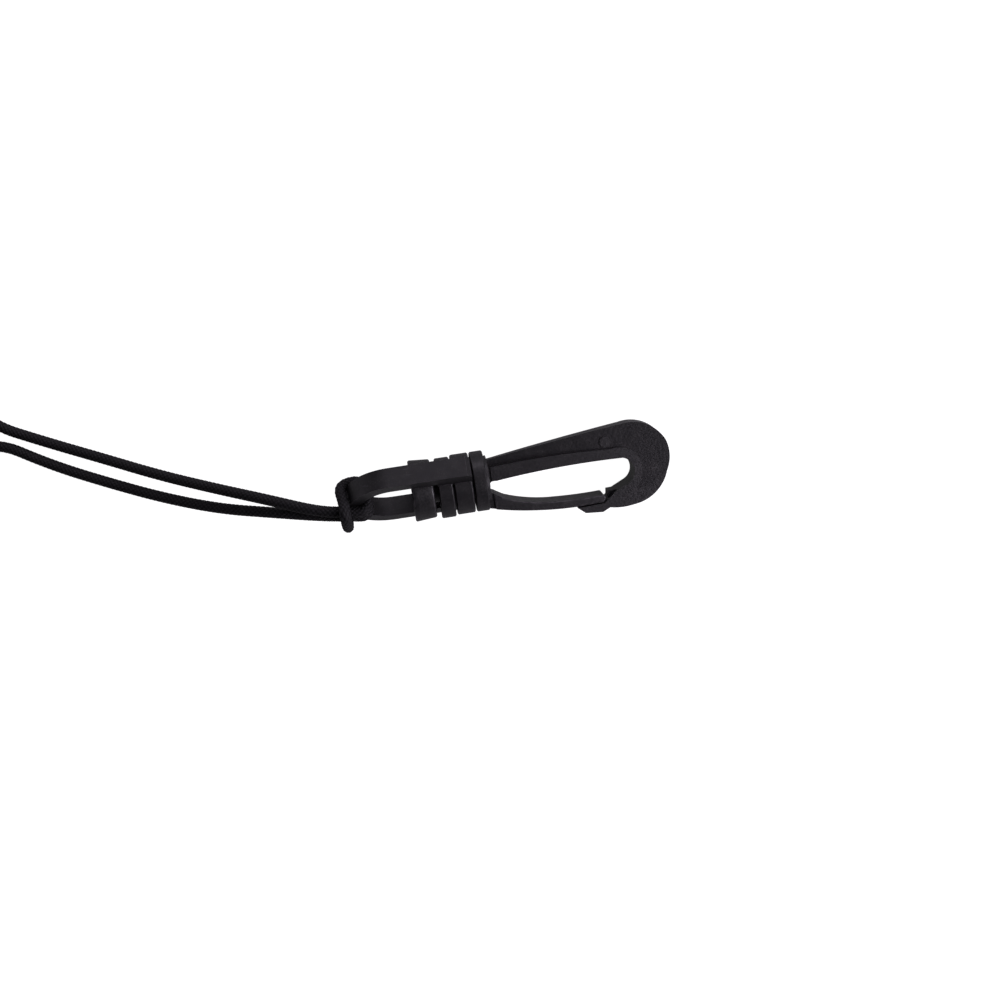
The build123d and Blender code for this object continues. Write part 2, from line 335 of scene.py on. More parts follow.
@dataclass(frozen=True)
class YarnCrossing:
    """Where a place lies on the two sets of yarns of a one-over-one braid, as output sockets."""

    # keeps the counted cells above zero without changing which of them are odd
    CELL_SHIFT = 1000.0
    # the share of the crown's height left where a yarn dips under the next
    DIP = 0.45

    nodes: Nodes
    on_top: bpy.types.NodeSocket
    parts: tuple[bpy.types.NodeSocket, ...]

    @classmethod
    def at(cls, nodes: Nodes, turn: Any, run: Any, yarns: Any, lay: Any) -> "YarnCrossing":
        """Finds the crossing at a place.

        Args:
            nodes: The tree's node helper.
            turn: The way round the cord, from 0 to 1.
            run: The way along the cord.
            yarns: The number of yarns in each set.
            lay: The length of one cell along the cord.

        Returns:
            The crossing: whether the first set is on top, and the way across each set's yarn.
        """
        round_it = nodes.math("MULTIPLY", turn, yarns)
        along_it = nodes.math("DIVIDE", run, lay)
        phases = [nodes.math(way, round_it, along_it) for way in ("ADD", "SUBTRACT")]
        cells = nodes.math("ADD", *[nodes.math("FLOOR", phase) for phase in phases])
        side = nodes.math("MODULO", nodes.math("ADD", cells, cls.CELL_SHIFT), 2.0)
        on_top = nodes.math("GREATER_THAN", side, 0.5)
        return cls(nodes, on_top, tuple(nodes.math("FRACT", phase) for phase in phases))

    def lane(self) -> bpy.types.NodeSocket:
        """The way across the yarn on top, from 0 to 1."""
        return self.nodes.choose(self.on_top, *self.parts)

    def waves(self) -> tuple[bpy.types.NodeSocket, bpy.types.NodeSocket]:
        """The half waves of the yarn on top.

        Returns:
            The rounded width of the yarn, and its arch from dip to dip.
        """
        first, second = [
            self.nodes.math("SINE", self.nodes.math("MULTIPLY", part, math.pi)) for part in self.parts
        ]
        width = self.nodes.math("POWER", self.nodes.choose(self.on_top, first, second), 0.5)
        return width, self.nodes.choose(self.on_top, second, first)


# ---------------------------------------------------------------- shared shader effects


class Effects:
    """Shader node groups that more than one finish uses, each built once."""

    PIT_SCALE = 0.55
    FINE_SHARE = 0.65
    RUB_SCALE = 900.0
    SCUFF_STRETCH = (0.12, 1.0, 1.0)
    SCUFF_SLANT = (0.0, 0.3, 0.65)
    SCUFF_FINENESS = 9.0
    FILM_SCALE = 420.0
    FILM_SHARE = 0.2
    SPECK_SCALE = 2600.0
    SPECK_SHARE = 0.7

    def __init__(self) -> None:
        """Builds the groups."""
        self.grain = self._grain()
        self.wear = self._wear()
        self.dust = self._dust()
        self.weave = self._weave()

    @staticmethod
    def _group(
        name: str, place: str, numbers: dict[str, float], outputs: Sequence[str]
    ) -> tuple[Nodes, Any, Any]:
        """Makes an empty group with its sockets.

        Args:
            name: The group's name.
            place: The name of the input that says where the effect is read.
            numbers: Name and default of each other input.
            outputs: The name of each output.

        Returns:
            The group's node helper, the sockets that it is given and the sockets that it gives.
        """
        tree = bpy.data.node_groups.new(name, "ShaderNodeTree")
        tree.interface.new_socket(place, in_out="INPUT", socket_type="NodeSocketVector")
        for label, value in numbers.items():
            socket = tree.interface.new_socket(label, in_out="INPUT", socket_type="NodeSocketFloat")
            socket.default_value = value
        for label in outputs:
            tree.interface.new_socket(label, in_out="OUTPUT", socket_type="NodeSocketFloat")
        nodes = Nodes(tree)
        return nodes, nodes.add("NodeGroupInput").outputs, nodes.add("NodeGroupOutput").inputs

    def _grain(self) -> bpy.types.NodeTree:
        """Fine spark-eroded grain of a mould, with soft flow marks under it.

        Returns:
            The group.
        """
        nodes, given, out = self._group(
            "moulded_grain",
            "Vector",
            {"Grain Scale": 5000.0, "Flow Scale": 160.0, "Flow Share": 0.3},
            ("Height", "Blotch"),
        )
        fine = nodes.noise(given["Vector"], given["Grain Scale"], 3.0)
        pits = nodes.add(
            "ShaderNodeTexVoronoi",
            {"feature": "SMOOTH_F1"},
            Vector=given["Vector"],
            Scale=nodes.math("MULTIPLY", given["Grain Scale"], self.PIT_SCALE),
        )
        flow = nodes.noise(given["Vector"], given["Flow Scale"], 2.0, distortion=1.2)
        texture = nodes.math("ADD", nodes.math("MULTIPLY", fine, self.FINE_SHARE), pits.outputs["Distance"])
        swell = nodes.math("MULTIPLY", flow, given["Flow Share"])
        nodes.feed(out["Height"], nodes.math("ADD", texture, swell))
        nodes.feed(out["Blotch"], nodes.ramp(flow, 0.35, 0.65))
        return nodes.tree

    def _wear(self) -> bpy.types.NodeTree:
        """Rubbed edges and short hairline scuffs.

        Returns:
            The group.
        """
        nodes, given, out = self._group(
            "rubbed_edges", "Vector", {"Scuff Scale": 260.0}, ("Edge", "Scuff")
        )
        edge = nodes.add("ShaderNodeAttribute", {"attribute_name": RUBBED}).outputs["Fac"]
        broken = nodes.ramp(nodes.noise(given["Vector"], self.RUB_SCALE, 3.0), 0.35, 0.6, 0.2, 1.0)
        nodes.feed(out["Edge"], nodes.math("MULTIPLY", edge, broken))
        stretched = nodes.add("ShaderNodeMapping", Vector=given["Vector"])
        nodes.feed(stretched.inputs["Scale"], self.SCUFF_STRETCH)
        nodes.feed(stretched.inputs["Rotation"], self.SCUFF_SLANT)
        fineness = nodes.math("MULTIPLY", given["Scuff Scale"], self.SCUFF_FINENESS)
        lines = nodes.ramp(nodes.noise(stretched.outputs[0], fineness, 1.0), 0.66, 0.74)
        patches = nodes.ramp(nodes.noise(given["Vector"], given["Scuff Scale"], 1.0), 0.52, 0.66)
        nodes.feed(out["Scuff"], nodes.math("MULTIPLY", lines, patches))
        return nodes.tree

    def _dust(self) -> bpy.types.NodeTree:
        """A thin film and scattered specks of lint that settle on faces that look up.

        Returns:
            The group.
        """
        nodes, given, out = self._group("settled_dust", "Vector", {"Amount": 0.3}, ("Dust",))
        normal = nodes.add("ShaderNodeNewGeometry").outputs["Normal"]
        upness = nodes.add("ShaderNodeSeparateXYZ", Vector=normal).outputs[2]
        film = nodes.noise(given["Vector"], self.FILM_SCALE, 4.0)
        specks = nodes.add("ShaderNodeTexVoronoi", Vector=given["Vector"], Scale=self.SPECK_SCALE)
        spots = nodes.math(
            "MULTIPLY",
            nodes.ramp(specks.outputs["Distance"], 0.1, 0.3, 1.0, 0.0),
            nodes.ramp(film, 0.45, 0.6),
        )
        both = nodes.math(
            "ADD",
            nodes.ramp(film, 0.4, 0.75, 0.0, self.FILM_SHARE),
            nodes.math("MULTIPLY", spots, self.SPECK_SHARE),
        )
        lying = nodes.math("MULTIPLY", nodes.ramp(upness, 0.2, 0.9), both)
        nodes.feed(out["Dust"], nodes.math("MULTIPLY", lying, given["Amount"]))
        return nodes.tree

    def _weave(self) -> bpy.types.NodeTree:
        """One-over-one braid on a sleeve whose UV runs round it and along it, with the yarns' filaments.

        Returns:
            The group.
        """
        nodes, given, out = self._group(
            "braid_yarns", "UV", {"Yarns": 8.0, "Lay": 1.0, "Filaments": 5.0}, ("Crown", "Filament")
        )
        place = nodes.add("ShaderNodeSeparateXYZ", Vector=given["UV"]).outputs
        crossing = YarnCrossing.at(nodes, place[0], place[1], given["Yarns"], given["Lay"])
        width, arch = crossing.waves()
        lifted = nodes.ramp(arch, 0.0, 1.0, YarnCrossing.DIP, 1.0)
        nodes.feed(out["Crown"], nodes.math("MULTIPLY", width, lifted))
        around = nodes.math("MULTIPLY", given["Filaments"], 2.0 * math.pi)
        stripes = nodes.math("SINE", nodes.math("MULTIPLY", crossing.lane(), around))
        nodes.feed(out["Filament"], nodes.ramp(stripes, -1.0, 1.0))
        return nodes.tree


# ---------------------------------------------------------------- finishes


@dataclass(frozen=True)
class MouldedAcetal:
    """Black injection-moulded acetal with a fine grain, rubbed edges and a little dust."""

    name: str
    colour: Colour = (0.0034, 0.0032, 0.0038)
    rubbed: Colour = (0.045, 0.043, 0.047)
    lint: Colour = (0.2, 0.19, 0.18)
    hollow_shade: float = 0.85
    scuff: float = 0.55
    roughness: float = 0.4
    smoother: float = 0.05
    rougher: float = 0.07
    edge_polish: float = 0.1
    refraction: float = 1.48
    grain_scale: float = 3300.0
    grain_height: float = 0.04
    grain_strength: float = 0.8
    flow_share: float = 0.5
    dust: float = 0.16

    def material(self, effects: Effects) -> bpy.types.Material:
        """Builds the material.

        Args:
            effects: The shared shader groups.

        Returns:
            The new material.
        """
        made = bpy.data.materials.new(self.name)
        nodes = Nodes.of(made)
        place = nodes.object_place()
        grain = nodes.shared(
            effects.grain, Vector=place, Grain_Scale=self.grain_scale, Flow_Share=self.flow_share
        )
        wear = nodes.shared(effects.wear, Vector=place)
        dust = nodes.shared(effects.dust, Vector=place, Amount=self.dust)
        deep = tuple(self.hollow_shade * part for part in self.colour)
        body = nodes.mix(grain["Blotch"], rgba(deep), rgba(self.colour))
        rub = nodes.math("MAXIMUM", wear["Edge"], nodes.math("MULTIPLY", wear["Scuff"], self.scuff))
        rubbed = nodes.mix(rub, body, rgba(self.rubbed))
        low, high = self.roughness - self.smoother, self.roughness + self.rougher
        matt = nodes.ramp(grain["Height"], 0.2, 1.2, low, high)
        polish = nodes.math("MULTIPLY", wear["Edge"], self.edge_polish)
        bump = nodes.add(
            "ShaderNodeBump",
            Strength=self.grain_strength,
            Distance=self.grain_height * MM,
            Height=grain["Height"],
        )
        nodes.surface(
            Base_Color=nodes.mix(dust["Dust"], rubbed, rgba(self.lint)),
            Roughness=nodes.math("SUBTRACT", matt, polish),
            Normal=bump.outputs[0],
            IOR=self.refraction,
        )
        return made


@dataclass(frozen=True)
class BraidedNylon:
    """Black braided nylon, with a painted highlight along the yarns' crowns and painted shade in the gaps
    between the yarns.
    """

    name: str
    yarns: int
    lay: float
    colour: Colour = (0.0011, 0.00105, 0.00125)
    # crown is a painted highlight on the yarns' tops, and gap is a painted shade between the yarns
    crown: Colour = (0.017, 0.0164, 0.0185)
    gap_shade: Colour = (0.0004, 0.0004, 0.0005)
    roughness: float = 0.6
    smoother: float = 0.08
    rougher: float = 0.12
    shine: float = 0.25
    sheen: float = 0.015
    sheen_roughness: float = 0.45
    fuzz_scale: float = 2400.0
    fuzz_share: float = 0.6
    filament_share: float = 0.5
    filament_height: float = 0.02
    filament_strength: float = 0.6

    def material(self, effects: Effects) -> bpy.types.Material:
        """Builds the material.

        Args:
            effects: The shared shader groups.

        Returns:
            The new material.
        """
        made = bpy.data.materials.new(self.name)
        nodes = Nodes.of(made)
        lay_out = nodes.add("ShaderNodeUVMap", {"uv_map": Sleeve.UV_NAME}).outputs[0]
        weave = nodes.shared(effects.weave, UV=lay_out, Yarns=float(self.yarns), Lay=self.lay)
        fuzz = nodes.noise(nodes.object_place(), self.fuzz_scale, 3.0)
        # painted light: raised crowns, streaked by filaments and broken up by fuzz, take the painted
        # highlight colour, and the low gaps between yarns take the painted shade colour
        raised = nodes.ramp(weave["Crown"], 0.15, 0.95)
        lit = nodes.math("MULTIPLY", raised, nodes.ramp(weave["Filament"], 0.0, 1.0, 0.55, 1.0))
        crown_highlight_mask = nodes.math("MULTIPLY", lit, nodes.ramp(fuzz, 0.3, 0.7, 0.6, 1.0))
        deep = nodes.mix(raised, rgba(self.gap_shade), rgba(self.colour))
        filaments = nodes.math("MULTIPLY", weave["Filament"], self.filament_share)
        bump = nodes.add(
            "ShaderNodeBump",
            Strength=self.filament_strength,
            Distance=self.filament_height * MM,
            Height=nodes.math("ADD", filaments, nodes.math("MULTIPLY", fuzz, self.fuzz_share)),
        )
        nodes.surface(
            # the base colour mixes the painted gap shade with the painted crown highlight
            Base_Color=nodes.mix(crown_highlight_mask, deep, rgba(self.crown)),
            Roughness=nodes.ramp(
                crown_highlight_mask, 0.0, 1.0, self.roughness + self.rougher, self.roughness - self.smoother
            ),
            Normal=bump.outputs[0],
            Specular_IOR_Level=self.shine,
            Sheen_Weight=self.sheen,
            Sheen_Roughness=self.sheen_roughness,
        )
        return made


@dataclass(frozen=True)
class SoftRubber:
    """Matt black rubber with talc in its grain."""

    name: str
    colour: Colour = (0.013, 0.013, 0.013)
    chalk: Colour = (0.075, 0.074, 0.07)
    talc: float = 0.35
    edge_talc: float = 0.5
    roughness: float = 0.72
    rougher: float = 0.12
    grain_scale: float = 3600.0
    grain_height: float = 0.02
    grain_strength: float = 0.5

    def material(self, effects: Effects) -> bpy.types.Material:
        """Builds the material.

        Args:
            effects: The shared shader groups.

        Returns:
            The new material.
        """
        made = bpy.data.materials.new(self.name)
        nodes = Nodes.of(made)
        place = nodes.object_place()
        grain = nodes.shared(effects.grain, Vector=place, Grain_Scale=self.grain_scale)
        wear = nodes.shared(effects.wear, Vector=place)
        dust = nodes.shared(effects.dust, Vector=place, Amount=self.talc)
        on_edges = nodes.math("MULTIPLY", wear["Edge"], self.edge_talc)
        powder = nodes.math("MAXIMUM", on_edges, dust["Dust"])
        bump = nodes.add(
            "ShaderNodeBump",
            Strength=self.grain_strength,
            Distance=self.grain_height * MM,
            Height=grain["Height"],
        )
        nodes.surface(
            Base_Color=nodes.mix(powder, rgba(self.colour), rgba(self.chalk)),
            Roughness=nodes.ramp(
                grain["Blotch"], 0.0, 1.0, self.roughness, self.roughness + self.rougher
            ),
            Normal=bump.outputs[0],
        )
        return made


@dataclass(frozen=True)
class PalePaper:
    """The seamless pale sheet that the clip lies on, which glows to the eye alone, so it stays even."""

    name: str = "pale_paper"
    colour: Colour = (0.32, 0.32, 0.32)
    shade: float = 0.985
    tooth_scale: float = 900.0
    roughness: float = 0.9
    glow: float = 0.87
    bounce: float = 0.13

    def material(self) -> bpy.types.Material:
        """Builds the material.

        Returns:
            The new material.
        """
        made = bpy.data.materials.new(self.name)
        nodes = Nodes.of(made)
        tooth = nodes.noise(nodes.object_place(), self.tooth_scale, 2.0)
        shade = tuple(self.shade * part for part in self.colour)
        seen = nodes.add("ShaderNodeLightPath").outputs["Is Camera Ray"]
        nodes.surface(
            Base_Color=nodes.mix(tooth, rgba(shade), rgba(self.colour)),
            Roughness=self.roughness,
            Emission_Color=rgba(WHITE),
            Emission_Strength=nodes.math(
                "ADD", nodes.math("MULTIPLY", seen, self.glow), self.bounce
            ),
        )
        return made


# ---------------------------------------------------------------- mesh helpers


def new_piece(name: str, data: bpy.types.ID) -> bpy.types.Object:
    """Puts a mesh or a curve into the scene as a piece at the origin.

    Args:
        name: The piece's name.
        data: The mesh or the curve.

    Returns:
        The piece.
    """
    piece = bpy.data.objects.new(name, data)
    bpy.context.scene.collection.objects.link(piece)
    return piece


def plain_mesh(piece: bpy.types.Object) -> bpy.types.Mesh:
    """Reads a piece, with its modifiers at work, as one plain mesh.

    Args:
        piece: The piece, which stays as it is.

    Returns:
        The mesh.
    """
    graph = bpy.context.evaluated_depsgraph_get()
    graph.update()
    return bpy.data.meshes.new_from_object(piece.evaluated_get(graph), depsgraph=graph)


def settled(piece: bpy.types.Object) -> bpy.types.Object:
    """Turns a piece into one plain mesh, with its modifiers removed.

    Args:
        piece: The piece.

    Returns:
        The same piece.
    """
    mesh = plain_mesh(piece)
    mesh.name = piece.name
    piece.modifiers.clear()
    piece.data = mesh
    return piece


def shade_by_angle(mesh: bpy.types.Mesh, degrees: float) -> None:
    """Shades a mesh smooth, apart from its sharp edges.

    Args:
        mesh: The mesh.
        degrees: Edges that turn by this or more stay sharp.
    """
    shape = bmesh.new()
    shape.from_mesh(mesh)
    limit = math.radians(degrees)
    for face in shape.faces:
        face.smooth = True
    for edge in shape.edges:
        edge.smooth = len(edge.link_faces) == 2 and edge.calc_face_angle(0.0) < limit
    shape.to_mesh(mesh)
    shape.free()


def bridge(shape: bmesh.types.BMesh, rings: Sequence[Sequence[bmesh.types.BMVert]]) -> None:
    """Joins each ring of corners to the next with faces.

    Args:
        shape: The shape that the corners belong to.
        rings: The rings, where a ring of one corner is a pole.
    """
    for low, high in zip(rings, rings[1:]):
        sides = max(len(low), len(high))
        for side in range(sides):
            near = (low[side % len(low)], high[side % len(high)])
            beside = side + 1
            far = (high[beside % len(high)], low[beside % len(low)])
            shape.faces.new(list(dict.fromkeys(near + far)))


def shaded_piece(shape: bmesh.types.BMesh, name: str, degrees: float) -> bpy.types.Object:
    """Turns a shape into a piece that is smooth apart from its sharp edges.

    Args:
        shape: The shape, which is freed.
        name: The piece's name.
        degrees: Edges that turn by this or more stay sharp.

    Returns:
        The piece.
    """
    mesh = bpy.data.meshes.new(name)
    shape.to_mesh(mesh)
    shape.free()
    shade_by_angle(mesh, degrees)
    return new_piece(name, mesh)


def dress(piece: bpy.types.Object, material: bpy.types.Material, body: Body) -> None:
    """Gives a piece its one material, lets it ride and reports it.

    Args:
        piece: The piece.
        material: Its finish.
        body: The body that it rides on, unless it is blended between two.
    """
    piece.data.materials.clear()
    piece.data.materials.append(material)
    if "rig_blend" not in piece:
        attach(piece, body.value)
    LOG.info("%s: %d faces, on %s", piece.name, len(piece.data.polygons), body.value)


def round_edges(shape: bmesh.types.BMesh, radius: float, angle: float, segments: int) -> None:
    """Rounds a shape's sharp edges and marks the new faces as rubbed.

    Args:
        shape: The shape.
        radius: The rounding, in millimetres.
        angle: Edges that turn by more than this, in degrees, are rounded.
        segments: The number of steps in each rounding.
    """
    limit = math.radians(angle)
    sharp = [
        edge for edge in shape.edges if len(edge.link_faces) == 2 and edge.calc_face_angle(0.0) > limit
    ]
    rubbed = shape.faces.layers.float.new(RUBBED)
    made = bmesh.ops.bevel(
        shape,
        geom=sharp,
        offset=radius * MM,
        offset_type="OFFSET",
        segments=segments,
        profile=0.5,
        affect="EDGES",
        clamp_overlap=True,
    )
    for face in made["faces"]:
        face[rubbed] = 1.0


def moulded_piece(shape: bmesh.types.BMesh, name: str) -> bpy.types.Object:
    """Turns a shape into a piece whose flat faces stay flat in the light beside their rounded edges.

    Args:
        shape: The shape, which is freed.
        name: The piece's name.

    Returns:
        The piece.
    """
    piece = shaded_piece(shape, name, MOULDED_CREASE)
    even = piece.modifiers.new("flat_faces", "WEIGHTED_NORMAL")
    even.keep_sharp = True
    return settled(piece)


def softened_copy(node: str, name: str, radius: float) -> bpy.types.Object:
    """Copies a CAD node and rounds its edges.

    Args:
        node: The CAD node that the copy stands for.
        name: The new piece's name.
        radius: The rounding, in millimetres.

    Returns:
        The copy, which replaces the node.
    """
    merge_distance = 0.002
    flat_angle = 0.3
    sharp_angle = 24.0
    shape = bmesh.new()
    shape.from_mesh(frame["nodes"][node].data)
    bmesh.ops.remove_doubles(shape, verts=shape.verts, dist=merge_distance * MM)
    bmesh.ops.dissolve_limit(
        shape,
        angle_limit=math.radians(flat_angle),
        verts=shape.verts,
        edges=shape.edges,
        use_dissolve_boundaries=False,
    )
    round_edges(shape, radius, sharp_angle, segments=2)
    piece = moulded_piece(shape, name)
    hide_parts(node)
    return piece


# ---------------------------------------------------------------- trees that grow a piece on a line


def line_tree(name: str, sizes: dict[str, float | int]) -> tuple[Nodes, Any, bpy.types.NodeSocket]:
    """Makes the start of a Geometry Nodes tree that grows a piece along a line.

    Args:
        name: The tree's name.
        sizes: Name and default of each size, where a whole number is a count.

    Returns:
        The tree's node helper, the sockets that it is given, and the line as a curve.
    """
    tree = bpy.data.node_groups.new(name, "GeometryNodeTree")
    face = tree.interface
    face.new_socket("Geometry", in_out="INPUT", socket_type="NodeSocketGeometry")
    for label, value in sizes.items():
        kind = "NodeSocketInt" if isinstance(value, int) else "NodeSocketFloat"
        face.new_socket(label, in_out="INPUT", socket_type=kind).default_value = value
    face.new_socket("Material", in_out="INPUT", socket_type="NodeSocketMaterial")
    face.new_socket("Geometry", in_out="OUTPUT", socket_type="NodeSocketGeometry")
    nodes = Nodes(tree)
    given = nodes.add("NodeGroupInput").outputs
    return nodes, given, nodes.add("GeometryNodeMeshToCurve", Mesh=given["Geometry"]).outputs[0]


def end_tree(nodes: Nodes, geometry: bpy.types.NodeSocket, material: Any) -> bpy.types.NodeTree:
    """Ends a Geometry Nodes tree with real geometry in its material.

    Args:
        nodes: The tree's node helper.
        geometry: What the tree has made.
        material: The tree's material input.

    Returns:
        The tree.
    """
    real = nodes.add("GeometryNodeRealizeInstances", i0=geometry)
    painted = nodes.add("GeometryNodeSetMaterial", Geometry=real.outputs[0], Material=material)
    nodes.add("NodeGroupOutput", i0=painted.outputs[0])
    return nodes.tree


def grown_piece(
    name: str, line: Sequence[Any], closed: bool, tree: bpy.types.NodeTree, inputs: dict[str, Any]
) -> bpy.types.Object:
    """Grows a piece along a line of points.

    Args:
        name: The piece's name.
        line: The line's points, in metres.
        closed: Whether the line's end joins its start.
        tree: The Geometry Nodes tree that makes the piece.
        inputs: The value of each of the tree's named inputs.

    Returns:
        The piece, as a plain mesh.
    """
    edges = [(i, (i + 1) % len(line)) for i in range(len(line) if closed else len(line) - 1)]
    mesh = bpy.data.meshes.new(name)
    mesh.from_pydata([tuple(point) for point in line], edges, [])
    piece = new_piece(name, mesh)
    modifier = piece.modifiers.new(tree.name, "NODES")
    modifier.node_group = tree
    sockets = {one.name: one.identifier for one in tree.interface.items_tree if one.in_out == "INPUT"}
    for label, value in inputs.items():
        modifier[sockets[label]] = value
    return settled(piece)


# ---------------------------------------------------------------- the braided sleeve


@dataclass(frozen=True)
class Sleeve:
    """A braided tube along a line of points, with its sizes in millimetres."""

    UV_NAME = "braid_uv"
    # the crown height that stays at the tube's own radius
    LEVEL = 0.65

    diameter: float
    yarns: int = 8
    lay: float = 1.05
    relief: float = 0.2

    def sizes(self, spacing: float = 0.2, sides: int = 40, start: float = 0.0) -> dict[str, float | int]:
        """The tree's named sizes.

        Args:
            spacing: The distance between rings, in millimetres.
            sides: The number of points in a ring.
            start: How much of the cord comes before this stretch, in metres.

        Returns:
            Each size by its name, in metres or as a count.
        """
        return {
            "Radius": self.diameter / 2 * MM,
            "Ring Spacing": spacing * MM,
            "Lay": self.lay * MM,
            "Relief": self.relief * MM,
            "Start": start,
            "Sides": sides,
            "Yarns": self.yarns,
        }

    def tree(self) -> bpy.types.NodeTree:
        """Builds the tree: rings along the line, lifted into one-over-one yarns.

        Returns:
            The tree.
        """
        nodes, given, line = line_tree("braided_sleeve", self.sizes())
        rings = nodes.add("GeometryNodeResampleCurve", {"mode": "LENGTH"}, Curve=line)
        nodes.feed(rings.inputs["Length"], given["Ring Spacing"])
        length = nodes.add("GeometryNodeSplineParameter").outputs["Length"]
        marked = self._store(nodes, rings.outputs[0], "run", nodes.math("ADD", length, given["Start"]))
        circle = nodes.add(
            "GeometryNodeCurvePrimitiveCircle", Resolution=given["Sides"], Radius=given["Radius"]
        )
        index = nodes.add("GeometryNodeInputIndex").outputs[0]
        turn = nodes.math("DIVIDE", index, given["Sides"])
        ring = self._store(nodes, circle.outputs[0], "turn", turn)
        skin = nodes.add("GeometryNodeCurveToMesh", Curve=marked, Profile_Curve=ring, Fill_Caps=True)
        above = nodes.math("SUBTRACT", self._crown(nodes, given), self.LEVEL)
        push = nodes.add("ShaderNodeVectorMath", {"operation": "SCALE"})
        nodes.feed(push.inputs[0], nodes.add("GeometryNodeInputNormal").outputs[0])
        nodes.feed(push.inputs["Scale"], nodes.math("MULTIPLY", above, given["Relief"]))
        shaped = nodes.add("GeometryNodeSetPosition", Geometry=skin.outputs[0], Offset=push.outputs[0])
        smooth = nodes.add("GeometryNodeSetShadeSmooth", i0=shaped.outputs[0])
        return end_tree(nodes, smooth.outputs[0], given["Material"])

    @staticmethod
    def _store(nodes: Nodes, geometry: Any, name: str, value: Any) -> bpy.types.NodeSocket:
        """Stores a number on each point.

        Args:
            nodes: The tree's node helper.
            geometry: The geometry.
            name: The number's name.
            value: The number.

        Returns:
            The geometry with its number.
        """
        node = nodes.add(
            "GeometryNodeStoreNamedAttribute", {"data_type": "FLOAT", "domain": "POINT"}, Geometry=geometry
        )
        node.inputs["Name"].default_value = name
        nodes.feed(next(one for one in node.inputs if one.name == "Value" and one.enabled), value)
        return node.outputs[0]

    @staticmethod
    def _crown(nodes: Nodes, given: Any) -> bpy.types.NodeSocket:
        """The height of the yarn on top at each point.

        Args:
            nodes: The tree's node helper.
            given: The sockets that the tree is given.

        Returns:
            The height, from 0 to 1.
        """
        turn, run = [
            nodes.add("GeometryNodeInputNamedAttribute", {"data_type": "FLOAT"}, Name=name).outputs[0]
            for name in ("turn", "run")
        ]
        width, arch = YarnCrossing.at(nodes, turn, run, given["Yarns"], given["Lay"]).waves()
        rise = nodes.math("MULTIPLY", arch, 1.0 - YarnCrossing.DIP)
        return nodes.math("MULTIPLY", width, nodes.math("ADD", rise, YarnCrossing.DIP))

    def unwrap(self, mesh: bpy.types.Mesh) -> None:
        """Lays the UV out from the turn and run stored on each point, closed round the sleeve.

        Args:
            mesh: The sleeve's mesh.
        """
        turn = np.zeros(len(mesh.vertices), np.float32)
        run = np.zeros(len(mesh.vertices), np.float32)
        mesh.attributes["turn"].data.foreach_get("value", turn)
        mesh.attributes["run"].data.foreach_get("value", run)
        corners = np.zeros(len(mesh.loops), np.int32)
        mesh.loops.foreach_get("vertex_index", corners)
        counts = np.zeros(len(mesh.polygons), np.int32)
        mesh.polygons.foreach_get("loop_total", counts)
        around = turn[corners]
        owner = np.repeat(np.arange(len(counts)), counts)
        highest = np.full(len(counts), -1.0)
        np.maximum.at(highest, owner, around)
        lowest = np.full(len(counts), 2.0)
        np.minimum.at(lowest, owner, around)
        # a face that closes the ring has its far corners at the start of the turn
        closing = (highest - lowest > 0.5)[owner] & (around < 0.5) & (counts[owner] == 4)
        places = np.stack([around + closing, run[corners] / MM], axis=1)
        layer = mesh.uv_layers.new(name=self.UV_NAME)
        layer.data.foreach_set("uv", places.astype(np.float32).ravel())


# ---------------------------------------------------------------- lanyard


@dataclass(frozen=True)
class Stretch:
    """One stretch of the cord: its piece, the CAD node that it stands for, and how it lies."""

    name: str
    node: str
    lie: Lie
    # the distance between the sleeve's rings, in millimetres, and the points in a ring
    spacing: float
    sides: int


